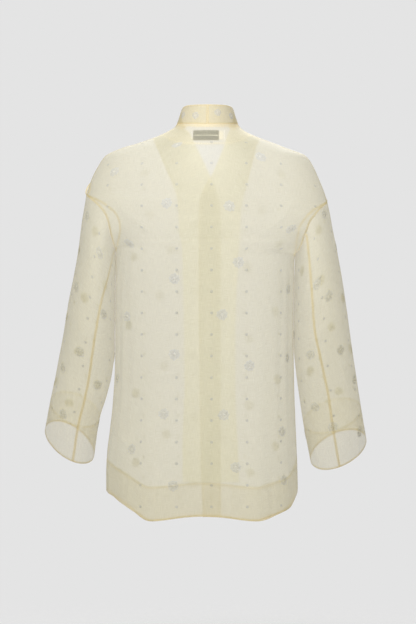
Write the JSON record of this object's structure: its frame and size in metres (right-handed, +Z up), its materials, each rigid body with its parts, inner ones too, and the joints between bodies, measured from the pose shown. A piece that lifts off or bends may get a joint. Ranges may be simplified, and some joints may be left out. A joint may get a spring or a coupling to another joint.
{
  "type": "kebaya",
  "caption": "Sheer hip-length jacket with a low standing collar, long sleeves and lapped open fronts, filled out as worn.",
  "frame": {"origin": "middle of the neck opening, level with the collar's seam at the back, where the wearer's neck and shoulders hold the jacket up", "axes": "+Z up, +Y out of the jacket's front, +X to the wearer's right"},
  "size_m": [0.6555, 0.2728, 0.8389],
  "materials": {
    "organza": "sheer crisp organza",
    "organza_doubled": "two layers of sheer crisp organza",
    "woven_label": "woven satin tape",
    "tape": "woven tape"
  },
  "bodies": {
    "root": {"back": "organza", "front_left": "organza", "front_right": "organza", "sleeve_left": "organza", "sleeve_right": "organza", "collar_left": "organza_doubled", "collar_right": "organza_doubled", "facing_left": "organza_doubled", "facing_right": "organza_doubled", "facing_back": "organza_doubled", "label": "woven_label", "label_tab": "tape"}
  },
  "joints": []
}
